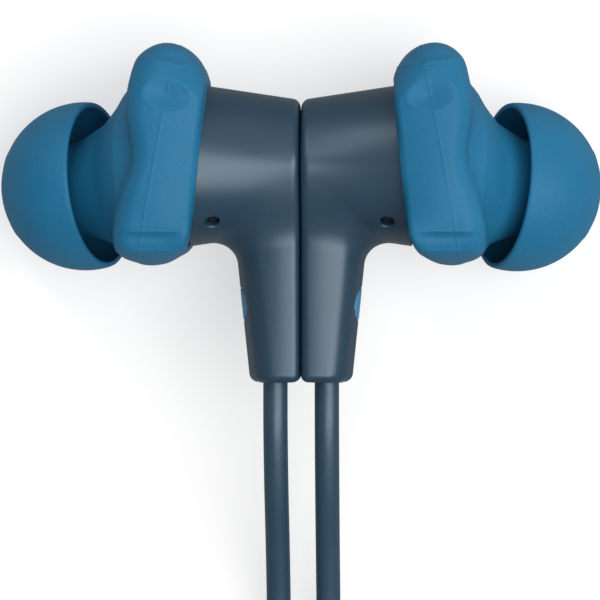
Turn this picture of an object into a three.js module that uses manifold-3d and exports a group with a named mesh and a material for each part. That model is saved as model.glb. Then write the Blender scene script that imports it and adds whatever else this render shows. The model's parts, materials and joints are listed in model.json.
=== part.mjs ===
// Neckband earphones: two magnetic earbuds lying back to back, their cords, and the collar that the cords
// run into. Millimetres. X runs across, Y runs from the nape to the buds and Z is up from the table.
// Each bud and each arm is built on the +X side, and its left twin is the same group mirrored in X.
import * as THREE from 'three';
import { mergeVertices } from 'three/addons/utils/BufferGeometryUtils.js';
import Module from 'manifold-3d';

const wasm = await Module();
wasm.setup();

// ---- Driving dimensions ----

const clearance = 0.3; // between pieces that touch on the real object
const wall = 0.9; // earbud housings

// Earbud body: a cone-shaped barrel along X, with its flat back next to the other bud
const backFace = 0.15; // from the middle plane, half of the gap between the buds
const barrel = { y: 10.15, z: 9.6, backRadius: 5, frontRadius: 6.05, length: 7.55, edge: 0.45 };
const sleeveLean = THREE.MathUtils.degToRad(5.7); // the joint with the fin sleeve leans in plan
const nozzleTurn = THREE.MathUtils.degToRad(6); // the nozzle points a little towards the stem
const nozzlePitch = THREE.MathUtils.degToRad(19.4); // and down to the table
const nozzleShift = { y: -0.76, z: -0.33 }; // nozzle axis from the barrel axis, at the joint

// Stem
const stem = { endY: -6.2, topWidth: 4.9, endWidth: 3.6, topY: 5.5, halfDepth: 2.75, edge: 1.15 };
const ventRadius = 0.52;
const marker = { y: -0.3, radius: 1.15, depth: 0.5 };

// Ear tip: a dome around a centre on the nozzle axis
const tip = { radius: 6.28, wall: 0.8, centre: 9.01, rim: 7.96, bore: 3.1, core: 3.8, coreStart: 10.6 };
const tipMouth = { radius: 2.1, front: 14.8 };
const nozzle = { radius: 2.45, bore: 1.75, end: 12.2 };

// Fin sleeve: a thick ring with a squarish oval outline that ends in a conical neck
const fin = { thickness: 5.3, halfDepth: 7.3, halfHeight: 8.4, rise: 0.48, edge: 2 };
const finCorners = 2 / 4.5; // exponent of the outline: 1 would be an ellipse, 0 a rectangle
const finSides = 40;

// Cord
const cordRadius = 0.92;
const cordX = 1.93;
const cordHoleRadius = 1.3;

// Collar
const arm = { x: 57, front: -32, length: 64, width: 12.4, height: 9, wall: 1.2, edge: 2.6 };
const splitZ = 4.4; // joint between the arm shells, and the height of the band and gland axes
const band = { radius: 2.8, bore: 0.8, wireRadius: 0.5, reach: 95, insert: 3 };
const napeSleeve = { radius: 4.4, halfAngle: 0.3 };

// ---- Small helpers ----

function solid(geometry) {
  const bare = new THREE.BufferGeometry();
  bare.setAttribute('position', geometry.getAttribute('position'));
  bare.setIndex(geometry.getIndex());
  const merged = mergeVertices(bare, 1e-4);
  return new wasm.Manifold(
    new wasm.Mesh({
      numProp: 3,
      vertProperties: merged.getAttribute('position').array,
      triVerts: new Uint32Array(merged.getIndex().array),
    }),
  );
}

function join(first, ...others) {
  return others.reduce((sum, next) => sum.add(next), first);
}

function cut(from, ...tools) {
  return tools.reduce((left, tool) => left.subtract(tool), from);
}

// The surface of a solid as a geometry. A geometry is returned as it is.
function surface(shape) {
  if (shape.isBufferGeometry) return shape;
  const { vertProperties, triVerts } = shape.getMesh();
  const geometry = new THREE.BufferGeometry();
  geometry.setAttribute('position', new THREE.BufferAttribute(vertProperties, 3));
  geometry.setIndex(new THREE.BufferAttribute(triVerts, 1));
  geometry.computeVertexNormals();
  return geometry;
}

function meshOf(name, shape, material) {
  const mesh = new THREE.Mesh(surface(shape), material.clone());
  mesh.name = name;
  return mesh;
}

// A ring or disc turned around +Y from a closed list of [radius, height], counter-clockwise in that plane.
function turned(profile, sides = 20) {
  const points = profile.map(([radius, height]) => new THREE.Vector2(radius, height));
  if (points[0].x > 0) points.push(points[0].clone());
  return new THREE.LatheGeometry(points, sides);
}

function box(low, high) {
  const size = high.map((value, i) => value - low[i]);
  const geometry = new THREE.BoxGeometry(...size);
  return geometry.translate(...low.map((value, i) => value + size[i] / 2));
}

function rod(radius, from, to, sides = 12) {
  const start = new THREE.Vector3(...from);
  const along = new THREE.Vector3(...to).sub(start);
  const geometry = new THREE.CylinderGeometry(radius, radius, along.length(), sides);
  geometry.translate(0, along.length() / 2, 0);
  const turn = new THREE.Quaternion().setFromUnitVectors(new THREE.Vector3(0, 1, 0), along.normalize());
  return geometry.applyQuaternion(turn).translate(start.x, start.y, start.z);
}

// A slab with round ends along Y and rounded edges, standing on z = bottom.
function roundSlab(length, width, bottom, top, edge, bevelSegments = 3) {
  const radius = width / 2 - edge;
  const half = (length - width) / 2;
  const outline = new THREE.Shape();
  outline.absarc(0, half, radius, 0, Math.PI);
  outline.absarc(0, -half, radius, Math.PI, 2 * Math.PI);
  const geometry = new THREE.ExtrudeGeometry(outline, {
    depth: top - bottom - 2 * edge,
    bevelThickness: edge,
    bevelSize: edge,
    bevelSegments,
    curveSegments: 4,
  });
  return geometry.translate(0, 0, bottom + edge);
}

function tubeAlong(curve, radius, steps, sides, bore = 0) {
  const section = new THREE.Shape().absarc(0, 0, radius, 0, 2 * Math.PI);
  if (bore > 0) section.holes.push(new THREE.Path().absarc(0, 0, bore, 0, 2 * Math.PI, true));
  return new THREE.ExtrudeGeometry(section, { steps, curveSegments: sides / 2, extrudePath: curve });
}

function colour(hex, roughness, metalness = 0) {
  return new THREE.MeshStandardMaterial({ color: hex, roughness, metalness });
}

// ---- Materials ----

const slatePlastic = colour(0x3e5468, 0.42);
const blueSilicone = colour(0x3580ab, 0.62);
const slateSilicone = colour(0x3b5063, 0.6);
const markerBlue = colour(0x4b96be, 0.4);
const darkPlastic = colour(0x1f2429, 0.5);
const boardGreen = colour(0x1c4a34, 0.5);
const foilGrey = colour(0x9ba0a4, 0.45, 0.4);
const steel = colour(0xb4b7ba, 0.3, 1);
const meshGrey = colour(0x54585c, 0.5, 0.9);
const magnetNickel = colour(0xc4c2bc, 0.25, 1);
const copperFilm = colour(0xb98a5a, 0.4, 0.6);
const clearWhite = colour(0xe8eef2, 0.25);

// ---- Frames inside a bud ----

// The joint frame has its X across the sleeve joint. The nozzle frame has its Y along the nozzle.
const jointX = backFace + barrel.length;
const jointFrame = new THREE.Matrix4()
  .makeTranslation(jointX, barrel.y, barrel.z)
  .multiply(new THREE.Matrix4().makeRotationZ(sleeveLean));
const alongJointX = new THREE.Matrix4().makeRotationZ(-Math.PI / 2);
const barrelFrame = jointFrame.clone().multiply(alongJointX);
const nozzleFrame = new THREE.Matrix4()
  .makeTranslation(jointX, barrel.y + nozzleShift.y, barrel.z + nozzleShift.z)
  .multiply(new THREE.Matrix4().makeRotationZ(-nozzleTurn))
  .multiply(new THREE.Matrix4().makeRotationY(nozzlePitch))
  .multiply(alongJointX);

const aroundBarrel = (profile, sides = 16) => turned(profile, sides).applyMatrix4(barrelFrame);
const aroundNozzle = (profile, sides = 16) => turned(profile, sides).applyMatrix4(nozzleFrame);

// Everything on one side of the joint plane, to cut with
const beyondJoint = (offset) => solid(box([offset, -20, -20], [40, 20, 20]).applyMatrix4(jointFrame));
const behindJoint = (offset) => solid(box([-40, -20, -20], [offset, 20, 20]).applyMatrix4(jointFrame));

// ---- Earbud housings ----

function barrelCone(inset, start) {
  const { y, z, backRadius, frontRadius, length, edge } = barrel;
  const growth = (frontRadius - backRadius) / length;
  const radiusAt = (x) => backRadius + growth * x - inset;
  const reach = length + 1.5;
  const corner = inset > 0 ? 0 : edge;
  const profile = [
    [0, start],
    [radiusAt(start) - corner, start],
    [radiusAt(start) - 0.3 * corner, start + 0.3 * corner],
    [radiusAt(start), start + corner],
    [radiusAt(reach), reach],
    [0, reach],
  ];
  const points = corner > 0 ? profile : [profile[0], profile[1], profile[4], profile[5]];
  return turned(points, inset > 0 ? 16 : 24).applyMatrix4(alongJointX).translate(backFace, y, z);
}

function stemSolid() {
  const { endY, topWidth, endWidth, topY, halfDepth, edge } = stem;
  const inset = edge * 0.5;
  const left = backFace + inset;
  const outline = new THREE.Shape();
  outline.moveTo(left, topY);
  outline.lineTo(left, endY + edge);
  outline.quadraticCurveTo(left, endY + inset, left + inset, endY + inset);
  outline.lineTo(endWidth - edge, endY + inset);
  outline.quadraticCurveTo(endWidth - inset, endY + inset, endWidth - inset + 0.05, endY + edge);
  outline.lineTo(topWidth - inset, barrel.y - barrel.backRadius - 1.5);
  outline.quadraticCurveTo(topWidth - inset + 0.1, topY - 0.8, topWidth + 0.7, topY);
  const geometry = new THREE.ExtrudeGeometry(outline, {
    depth: 2 * halfDepth - 2 * edge,
    bevelThickness: edge,
    bevelSize: inset,
    bevelSegments: 2,
    curveSegments: 3,
  });
  return geometry.translate(0, 0, barrel.z - halfDepth + edge);
}

// The paddle-shaped space behind the flat back: a round part and the slot of the stem.
function paddle(inset, from, to) {
  const { y, z, backRadius } = barrel;
  const halfSlot = stem.halfDepth - wall - inset;
  const round = rod(backRadius - wall - inset, [from, y, z], [to, y, z], 16);
  const slot = box([from, stem.endY + 1.75 + inset, z - halfSlot], [to, y, z + halfSlot]);
  return join(solid(round), solid(slot));
}

const ventOutward = new THREE.Vector3(0, -0.757, 0.653);
const ventPlace = new THREE.Vector3(6.5, barrel.y - 4.45, barrel.z + 3.84);

function ventRod(radius, depth, height, sides) {
  const from = ventPlace.clone().addScaledVector(ventOutward, -depth);
  const to = ventPlace.clone().addScaledVector(ventOutward, height);
  return rod(radius, from.toArray(), to.toArray(), sides);
}

const markerX = 4.16; // outer side of the stem at the marker's height

function budShell() {
  const outer = join(solid(barrelCone(0, 0)), solid(stemSolid()));
  const hollow = solid(barrelCone(wall, wall + 0.4));
  const upTheStem = [stem.endY - 1, stem.endY + 3].map((y) => [cordX, y, barrel.z]);
  const cordHole = solid(rod(cordHoleRadius, ...upTheStem, 12));
  const stemHollow = solid(box([0.8, stem.endY + 1.75, barrel.z - 1.6], [2.75, barrel.y, barrel.z + 1.6]));
  const markerSeat = solid(
    rod(marker.radius + 0.12, [markerX - marker.depth, marker.y, barrel.z], [6, marker.y, barrel.z], 18),
  );
  const shell = cut(outer, hollow, paddle(-0.15, -1, wall + 0.6), stemHollow, cordHole, markerSeat);
  return cut(shell, solid(ventRod(ventRadius, 1.6, 1, 12)), beyondJoint(-clearance / 2));
}

function backPlate() {
  return paddle(0, backFace, backFace + 0.8);
}

function nozzleShell() {
  const outside = [
    [5.2, -4],
    [5.2, 0.5],
    [4.9, 2],
    [4.3, 3.4],
    [3.4, 5.2],
    [2.9, 6.5],
    [nozzle.radius, 7.5],
    [nozzle.radius, 10.8],
    [nozzle.radius + 0.35, 11.1],
    [nozzle.radius, nozzle.end],
  ];
  const inside = [
    [nozzle.bore, nozzle.end],
    [nozzle.bore, 7.3],
    [2.2, 6.2],
    [2.7, 4.8],
    [3.6, 3],
    [4.2, 1.4],
    [4.35, -4],
  ];
  return cut(solid(aroundNozzle([...outside, ...inside])), behindJoint(clearance / 2));
}

// ---- Soft pieces of a bud ----

function finSleeve() {
  const { thickness, halfDepth, halfHeight, rise, edge } = fin;
  const outline = new THREE.Shape(
    Array.from({ length: finSides }, (unused, i) => {
      const angle = (i * 2 * Math.PI) / finSides;
      const squared = (part) => Math.sign(part) * Math.abs(part) ** finCorners;
      const across = (halfDepth - edge) * squared(Math.cos(angle));
      const up = (halfHeight - edge) * squared(Math.sin(angle));
      return new THREE.Vector2(across, rise + up);
    }),
  );
  const ring = new THREE.ExtrudeGeometry(outline, {
    depth: thickness - 2 * edge,
    bevelThickness: edge,
    bevelSize: edge,
    bevelSegments: 3,
  });
  // Extruded along Z: turned so that its thickness lies along the joint frame's X and its height along Y
  ring.rotateY(Math.PI / 2).translate(clearance + edge, 0, 0).applyMatrix4(jointFrame);
  const neck = aroundNozzle([
    [0, 1],
    [6.9, 1],
    [6.9, 4.2],
    [6.4, 5.1],
    [4.8, 6.6],
    [4.2, 7.85],
    [3.7, 9.1],
    [3.5, 10.2],
    [0, 10.2],
  ]);
  const bore = aroundNozzle([
    [0, -4],
    [5.45, -4],
    [5.45, 0.6],
    [5.15, 2.15],
    [4.55, 3.6],
    [3.65, 5.4],
    [3.15, 6.7],
    [nozzle.radius + clearance, 7.6],
    [nozzle.radius + clearance, 11],
    [0, 11],
  ]);
  return cut(join(solid(ring), solid(neck)), solid(bore), behindJoint(clearance));
}

function earTip() {
  const arc = (radius, fromRadius, fromRim, steps) => {
    const start = Math.asin(fromRadius / radius);
    const end = Math.PI - Math.asin(Math.min(1, fromRim / radius));
    return Array.from({ length: steps + 1 }, (unused, i) => {
      const angle = end + ((start - end) * i) / steps;
      return [radius * Math.sin(angle), tip.centre + radius * Math.cos(angle)];
    });
  };
  const rimDepth = tip.centre - tip.rim;
  const rimRadius = Math.sqrt(tip.radius ** 2 - rimDepth ** 2);
  const innerRadius = tip.radius - tip.wall;
  const innerRim = Math.sqrt(innerRadius ** 2 - rimDepth ** 2);
  const dome = arc(tip.radius, tipMouth.radius + 0.6, rimRadius, 7);
  const under = arc(innerRadius, tip.core, innerRim, 4).reverse();
  return aroundNozzle([
    ...dome,
    [tipMouth.radius, tipMouth.front],
    [tipMouth.radius, nozzle.end + 0.7],
    [tip.bore, nozzle.end + 0.7],
    [tip.bore, tip.coreStart],
    [tip.core, tip.coreStart],
    ...under,
  ], 20);
}

// ---- Working pieces of a bud ----

const driverBasket = () => aroundBarrel([
  [1.2, -3], [4.4, -3], [4.4, -0.5], [3.9, -0.5], [3.9, -2.5], [1.2, -2.5],
]);

const driverMagnet = () => aroundBarrel([[0, -2.2], [2.8, -2.2], [2.8, -1.3], [0, -1.3]], 16);

const driverDiaphragm = () => aroundBarrel([
  [0, -0.55], [1.6, -0.75], [2, -1.05], [3, -0.8], [3.65, -0.95],
  [3.65, -0.75], [3, -0.6], [2, -0.85], [1.6, -0.55], [0, -0.35],
], 16);

const nozzleMesh = () => aroundNozzle([[0, 11.5], [1.6, 11.5], [1.6, 11.7], [0, 11.7]], 20);

const claspMagnet = () => rod(2.6, [1.35, barrel.y, barrel.z], [2.75, barrel.y, barrel.z], 24);

const ventMesh = () => ventRod(0.4, 0.7, -0.45, 12);

function sideMarker() {
  const from = markerX - marker.depth + 0.15;
  return rod(marker.radius, [from, marker.y, barrel.z], [markerX + 0.05, marker.y, barrel.z], 20);
}

// A bush that fills the cord hole in the end of the stem
function cordGrommet() {
  const bore = 0.5;
  const radius = cordHoleRadius - 0.2;
  const length = 1.5;
  const geometry = turned([[bore, 0], [radius, 0], [radius, length], [bore, length]], 12);
  return geometry.translate(cordX, stem.endY, barrel.z);
}

// The cord lies on the table in an S from the stem to the front of its arm.
const cordRoute = [
  [cordX, -6.5, barrel.z], [cordX, -9.5, 9.5], [1.92, -14, 7.9], [1.9, -19, 5], [1.9, -24, 2.6],
  [1.95, -30, 1.2], [2.1, -38, 0.95], [2.5, -52, 0.95], [2.9, -68, 0.95], [3.1, -84, 0.95],
  [3.5, -96, 0.95], [5.9, -105, 0.95], [11, -110.8, 0.95], [18, -112.8, 0.95], [25, -110.6, 0.95],
  [30, -104.8, 0.95], [32.2, -96, 0.95], [32.3, -84, 0.95], [31.9, -68, 0.95], [31.7, -52, 0.95],
  [31.8, -38, 0.95], [32.3, -24.5, 0.95], [34.3, -16, 0.95], [38.8, -10.6, 0.95], [45, -8.8, 1],
  [51, -10.9, 1.5], [55.2, -15.6, 2.8], [56.8, -21, 4.1], [arm.x, -25.7, splitZ],
];

function cord() {
  const points = cordRoute.map((point) => new THREE.Vector3(...point));
  return tubeAlong(new THREE.CatmullRomCurve3(points, false, 'centripetal'), cordRadius, 60, 8);
}

// ---- Bud ----

function bud(side) {
  const group = new THREE.Group();
  group.add(
    meshOf(`bud_shell_${side}`, budShell(), slatePlastic),
    meshOf(`back_plate_${side}`, backPlate(), slatePlastic),
    meshOf(`clasp_magnet_${side}`, claspMagnet(), magnetNickel),
    meshOf(`nozzle_shell_${side}`, nozzleShell(), slatePlastic),
    meshOf(`driver_basket_${side}`, driverBasket(), darkPlastic),
    meshOf(`driver_magnet_${side}`, driverMagnet(), magnetNickel),
    meshOf(`driver_diaphragm_${side}`, driverDiaphragm(), copperFilm),
    meshOf(`nozzle_mesh_${side}`, nozzleMesh(), meshGrey),
    meshOf(`vent_mesh_${side}`, ventMesh(), meshGrey),
    meshOf(`side_marker_${side}`, sideMarker(), markerBlue),
    meshOf(`cord_grommet_${side}`, cordGrommet(), slateSilicone),
    meshOf(`fin_sleeve_${side}`, finSleeve(), blueSilicone),
    meshOf(`ear_tip_${side}`, earTip(), blueSilicone),
    meshOf(`cord_${side}`, cord(), slateSilicone),
  );
  return group;
}

// ---- Collar: arm shells ----

const screwSpots = [25.5, -25.5]; // along the arm, from its middle
const underTop = arm.height - arm.wall;
const upTheArm = (geometry) => geometry.rotateX(Math.PI / 2); // turns +Y to +Z

function armHollow() {
  const { length, width, wall: skin, edge } = arm;
  return solid(roundSlab(length - 2 * skin, width - 2 * skin, skin, underTop, edge - 1.6, 1));
}

function post(y, radius, from, to, sides = 12) {
  return solid(rod(radius, [0, y, from], [0, y, to], sides));
}

// Both shells are cut from one hollow slab, with a hole for the band behind and for the gland in front.
function armShell(isUpper, openings) {
  const half = arm.length / 2;
  const bandHole = rod(band.radius + clearance + 0.05, [0, -half - 1, splitZ], [0, -half + 4, splitZ]);
  const glandHole = rod(1.9, [0, half - 3, splitZ], [0, half + 1, splitZ]);
  let shell = cut(solid(roundSlab(arm.length, arm.width, 0, arm.height, arm.edge)), armHollow());
  for (const y of screwSpots) {
    const boss = isUpper ? post(y, 2.4, splitZ, underTop + 0.3) : post(y, 2.4, arm.wall / 2, splitZ);
    const screwHole = isUpper ? post(y, 1, 0, underTop - 0.4) : post(y, 1, -1, splitZ + 1);
    shell = cut(join(shell, boss), screwHole);
    if (!isUpper) shell = cut(shell, post(y, 1.8, -1, 1.55));
  }
  const otherHalf = isUpper
    ? box([-20, -60, -5], [20, 60, splitZ + clearance / 2])
    : box([-20, -60, splitZ - clearance / 2], [20, 60, 20]);
  return cut(shell, solid(bandHole), solid(glandHole), ...openings, solid(otherHalf));
}

function screw(y) {
  const profile = [[0, 0.3], [1.5, 0.3], [1.5, 1.25], [0.7, 1.25], [0.7, 6.2], [0, 6.2]];
  return upTheArm(turned(profile, 12)).translate(0, y, 0);
}

// A tapered strain relief in the front end of the arm
function cordGland() {
  const profile = [
    [0.5, -3.6], [2.3, -3.6], [2.3, -2.6], [1.6, -2.6], [1.6, 0.35], [2.3, 0.35],
    [2.3, 1.2], [1.9, 2.2], [1.45, 6], [0.5, 6],
  ];
  return turned(profile, 16).translate(0, arm.length / 2, splitZ);
}

// ---- Collar: keys ----

const keyPlaces = { volume_up: 6, play: -4, volume_down: -14, power: 16.5 }; // along the arm
const key = { length: 9, width: 4.4, radius: 3.1, proud: 0.55, postEnd: 6.2, gap: 0.2 };
const isRoundKey = (name) => name === 'play' || name === 'power';

function keyHole(name) {
  const y = keyPlaces[name];
  const { length, width, radius, gap } = key;
  if (isRoundKey(name)) return post(y, radius + gap, underTop - 1, 12, 24);
  return solid(roundSlab(length + 2 * gap, width + 2 * gap, underTop - 1, 12, 0.01, 1).translate(0, y, 0));
}

// A cap through the top shell, a flange that keeps it in, and a post down to its switch
function keyCap(name) {
  const { length, width, radius, proud, postEnd } = key;
  const top = arm.height + proud;
  const flangeTop = underTop - 0.4;
  const flange = flangeTop - 0.5;
  const foot = post(0, 1, postEnd, flange + 0.2, 12);
  if (isRoundKey(name)) {
    const profile = [
      [0, flange], [radius + 0.5, flange], [radius + 0.5, flangeTop], [radius, flangeTop],
      [radius, top - 0.4], [radius - 0.4, top], [0, top],
    ];
    return surface(join(solid(upTheArm(turned(profile, 20))), foot));
  }
  const cap = roundSlab(length, width, flangeTop - 0.3, top, 0.4, 1);
  const rim = roundSlab(length + 1, width + 1, flange, flangeTop, 0.05, 1);
  return surface(join(solid(cap), solid(rim), foot));
}

// A switch stands on its board, just below the post of its key.
function keySwitch(name, boardTop) {
  const y = keyPlaces[name];
  const base = box([-1.8, y - 1.8, boardTop + 0.25], [1.8, y + 1.8, 5.3]);
  return join(solid(base), post(y, 1, 5, 5.8, 12));
}

// ---- Collar: electronics ----

const boardThickness = 0.8;
const mainBoardTop = 4;
const powerBoardTop = 2.4;
const board = (from, to, top) => box([-4, from, top - boardThickness], [4, to, top]);
const vibrationMotor = () => rod(1.6, [0, 11.5, 3.1], [0, 20, 3.1]);
const microphone = { y: 19.5, radius: 0.55 };
const lamp = { y: 10.8, radius: 0.55 };
const smallHole = (place) => post(place.y, place.radius + 0.2, underTop - 1, arm.height + 1, 14);
const microphoneMesh = () => post(microphone.y, microphone.radius, underTop + 0.3, underTop + 0.6, 14);
const lightPipe = () => post(lamp.y, lamp.radius, 6.25, arm.height - 0.05, 14);
const battery = () => box([-3.8, -20.5, 2], [3.8, -0.8, 6]);

// The charging socket looks out of the inner side of the arm, behind a cover that swings open.
const socket = { y: 6, z: splitZ, width: 8.9, height: 3.1, depth: 6.3, wall: 0.35, front: -5.4 };
const cover = { length: 11.4, height: 4.6, thickness: 0.9, x: -6.2 };

function socketBox(grow, from, to) {
  const { y, z, width, height } = socket;
  const halfWidth = width / 2 + grow;
  const halfHeight = height / 2 + grow;
  return solid(box([from, y - halfWidth, z - halfHeight], [to, y + halfWidth, z + halfHeight]));
}

function chargingSocket() {
  const { y, z, depth, wall: skin, front } = socket;
  const tongue = solid(box([front + 0.8, y - 3.3, z - 0.35], [front + depth - 0.2, y + 3.3, z + 0.35]));
  const shell = cut(socketBox(0, front, front + depth), socketBox(-skin, front - 1, front + depth - 0.8));
  return join(shell, tongue);
}

function coverRecess() {
  const halfLength = cover.length / 2 + clearance;
  const halfHeight = cover.height / 2 + clearance;
  const depthX = cover.x + cover.thickness / 2 + clearance;
  const low = [-9, socket.y - halfLength, splitZ - halfHeight];
  return solid(box(low, [depthX, socket.y + halfLength, splitZ + halfHeight]));
}

// A flap whose front end is rounded around its pivot
function socketCover() {
  const { length, height, thickness, x } = cover;
  const pivotY = socket.y + length / 2 - thickness / 2;
  const outline = new THREE.Shape();
  outline.moveTo(x - thickness / 2, socket.y - length / 2);
  outline.lineTo(x + thickness / 2, socket.y - length / 2);
  outline.absarc(x, pivotY, thickness / 2, 0, Math.PI);
  const options = { depth: height, bevelEnabled: false, curveSegments: 6 };
  return new THREE.ExtrudeGeometry(outline, options).translate(0, 0, splitZ - height / 2);
}

// ---- Collar: arms ----

function armCommon(side) {
  return [
    meshOf(`cord_gland_${side}`, cordGland(), slateSilicone),
    meshOf(`front_screw_${side}`, screw(screwSpots[0]), steel),
    meshOf(`rear_screw_${side}`, screw(screwSpots[1]), steel),
  ];
}

function keyMesh(name) {
  const mesh = meshOf(`${name}_key`, keyCap(name), slateSilicone);
  mesh.position.y = keyPlaces[name];
  return mesh;
}

function placedArm(meshes) {
  const group = new THREE.Group();
  group.position.set(arm.x, arm.front - arm.length / 2, 0);
  group.add(...meshes);
  return group;
}

function rightArm() {
  const names = ['volume_up', 'play', 'volume_down'];
  const openings = [...names.map(keyHole), smallHole(microphone)];
  return placedArm([
    meshOf('arm_lower_right', armShell(false, []), slatePlastic),
    meshOf('arm_upper_right', armShell(true, openings), slatePlastic),
    ...armCommon('right'),
    ...names.map(keyMesh),
    ...names.map((name) => meshOf(`${name}_switch`, keySwitch(name, mainBoardTop), darkPlastic)),
    meshOf('main_board', board(-21, 9.5, mainBoardTop), boardGreen),
    meshOf('vibration_motor', vibrationMotor(), steel),
    meshOf('microphone_mesh', microphoneMesh(), meshGrey),
  ]);
}

function leftArm() {
  const portHole = socketBox(0.15, -9, socket.front + socket.depth);
  const openings = [keyHole('power'), smallHole(lamp), coverRecess(), portHole];
  return placedArm([
    meshOf('arm_lower_left', armShell(false, [coverRecess(), portHole]), slatePlastic),
    meshOf('arm_upper_left', armShell(true, openings), slatePlastic),
    ...armCommon('left'),
    keyMesh('power'),
    meshOf('power_switch', keySwitch('power', powerBoardTop), darkPlastic),
    meshOf('power_board', board(0.8, 20, powerBoardTop), boardGreen),
    meshOf('battery', battery(), foilGrey),
    meshOf('charging_socket', chargingSocket(), steel),
    meshOf('socket_cover', socketCover(), slateSilicone),
    meshOf('light_pipe', lightPipe(), clearWhite),
  ]);
}

// ---- Collar: bands and nape ----

// Half of an ellipse from the rear end of one arm round the nape to the other
class CollarCurve extends THREE.Curve {
  constructor(from, to) {
    super();
    this.from = from;
    this.to = to;
  }

  getPoint(t, target = new THREE.Vector3()) {
    const angle = this.from + (this.to - this.from) * t;
    const startY = arm.front - arm.length + band.insert;
    return target.set(arm.x * Math.cos(angle), startY - band.reach * Math.sin(angle), splitZ);
  }
}

const nape = Math.PI / 2;

function bandHalf(side) {
  const gapAngle = clearance / 2 / arm.x;
  const curve = new CollarCurve(0, nape - gapAngle);
  const wireCurve = new CollarCurve(0.02, nape - 0.02);
  return [
    meshOf(`band_${side}`, tubeAlong(curve, band.radius, 18, 10, band.bore), slateSilicone),
    meshOf(`spring_wire_${side}`, tubeAlong(wireCurve, band.wireRadius, 20, 6), steel),
  ];
}

function napeSleeveTube() {
  const curve = new CollarCurve(nape - napeSleeve.halfAngle, nape + napeSleeve.halfAngle);
  return tubeAlong(curve, napeSleeve.radius, 8, 12, band.radius + clearance);
}

// ---- Assembly ----

function sideGroup(side, armGroup) {
  const group = new THREE.Group();
  if (side === 'left') group.scale.x = -1;
  group.add(bud(side), armGroup, ...bandHalf(side));
  return group;
}

const earphones = new THREE.Group();
earphones.add(
  sideGroup('right', rightArm()),
  sideGroup('left', leftArm()),
  meshOf('nape_sleeve', napeSleeveTube(), slateSilicone),
);

// The origin is the middle of the base of everything but the cords.
const extent = new THREE.Box3();
earphones.updateMatrixWorld(true);
earphones.traverse((object) => {
  if (object.isMesh && !object.name.startsWith('cord_left') && !object.name.startsWith('cord_right')) {
    extent.expandByObject(object, true);
  }
});
const middle = extent.getCenter(new THREE.Vector3());
earphones.position.set(-middle.x, -middle.y, -extent.min.z);

export default earphones;
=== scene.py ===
import json
import math

import bpy
import numpy as np
from mathutils import Matrix, Vector


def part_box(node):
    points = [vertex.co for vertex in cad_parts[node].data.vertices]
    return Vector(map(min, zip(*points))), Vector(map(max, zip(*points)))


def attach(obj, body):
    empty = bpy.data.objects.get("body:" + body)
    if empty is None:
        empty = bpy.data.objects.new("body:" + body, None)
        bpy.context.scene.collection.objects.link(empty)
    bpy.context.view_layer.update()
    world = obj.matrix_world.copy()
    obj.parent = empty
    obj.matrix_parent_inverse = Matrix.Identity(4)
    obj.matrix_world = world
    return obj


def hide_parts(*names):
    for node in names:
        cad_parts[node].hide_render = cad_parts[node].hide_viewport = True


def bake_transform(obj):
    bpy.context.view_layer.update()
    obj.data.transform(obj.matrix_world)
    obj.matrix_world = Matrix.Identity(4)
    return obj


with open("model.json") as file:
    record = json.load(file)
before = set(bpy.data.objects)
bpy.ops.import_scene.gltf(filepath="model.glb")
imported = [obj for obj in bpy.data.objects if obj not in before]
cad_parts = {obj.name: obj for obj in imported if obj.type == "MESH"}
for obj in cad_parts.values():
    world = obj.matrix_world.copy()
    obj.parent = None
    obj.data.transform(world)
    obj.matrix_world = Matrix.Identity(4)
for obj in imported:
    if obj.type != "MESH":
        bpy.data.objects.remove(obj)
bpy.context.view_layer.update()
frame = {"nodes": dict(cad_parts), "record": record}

# ---- Units and sides ----

MM = 0.001
STEM_END = -6.2  # lowest y of an earbud housing in bud space
OFFSET_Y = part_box("bud_shell_right")[0].y / MM - STEM_END  # bud space to the row frame
SIDES = ("right", "left")


def placed(points, side="right"):
    """Points in bud space, in millimetres, as row frame metres. The left side is the mirror image."""
    out = np.array(points, float)
    out[:, 1] += OFFSET_Y
    if side == "left":
        out[:, 0] *= -1
    return out * MM


# ---- Camera ----

YAW = math.radians(1.6)
LENS, SENSOR_WIDTH = 300.0, 36.0
VIEW_WIDTH = 45.0  # of the frame, at the height of the earbuds
VIEW_CENTRE = (-0.075, 0.0, 10.0)  # bud space

camera_data = bpy.data.cameras.new("camera")
camera_data.lens = LENS
camera_data.sensor_width = SENSOR_WIDTH
camera_data.clip_start, camera_data.clip_end = 0.01, 100.0
camera = bpy.data.objects.new("camera", camera_data)
bpy.context.scene.collection.objects.link(camera)
bpy.context.scene.camera = camera
back = Vector((math.sin(YAW), 0, math.cos(YAW)))
distance = VIEW_WIDTH * LENS / SENSOR_WIDTH
target = Vector(placed([VIEW_CENTRE])[0])
across = Vector((0, 1, 0)).cross(back)
turn = Matrix((across, (0, 1, 0), back)).transposed().to_4x4()
camera.matrix_world = Matrix.Translation(target + back * distance * MM) @ turn

# ---- Materials ----

COLOUR_DRIFT_SCALE = 160.0
GRAIN_DEPTH = 0.02 * MM


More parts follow.
